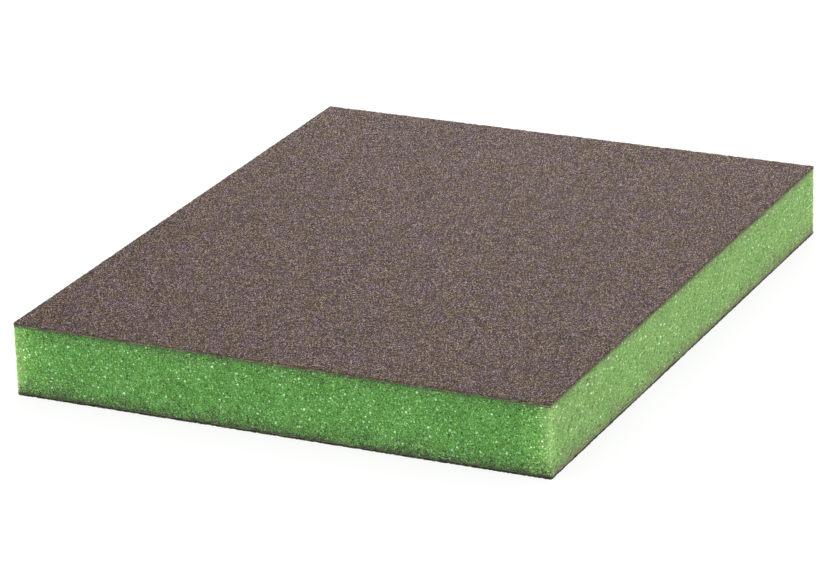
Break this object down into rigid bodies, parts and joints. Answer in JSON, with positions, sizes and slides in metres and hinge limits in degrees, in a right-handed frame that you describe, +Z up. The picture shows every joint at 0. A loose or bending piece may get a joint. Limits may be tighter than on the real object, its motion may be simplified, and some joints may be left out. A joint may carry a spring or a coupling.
{
  "type": "foam sanding pad",
  "caption": "Flat rectangular sanding pad for hand sanding: a square-cut green foam slab with brown abrasive grit bonded to its large faces.",
  "frame": {"origin": "middle of the lower abrasive face, which the pad lies on", "axes": "+X across the 98 mm width, +Y along the 120 mm length, +Z up through the 13 mm thickness"},
  "size_m": [0.098, 0.12, 0.013],
  "materials": {
    "green_foam": "matte",
    "make_resin": "satin",
    "abrasive_grain": "matte",
    "size_resin": "satin"
  },
  "bodies": {
    "root": {"foam_core": "green_foam", "upper_make_coat": "make_resin", "upper_grain_layer": "abrasive_grain", "upper_size_coat": "size_resin", "lower_make_coat": "make_resin", "lower_grain_layer": "abrasive_grain", "lower_size_coat": "size_resin"}
  },
  "joints": []
}
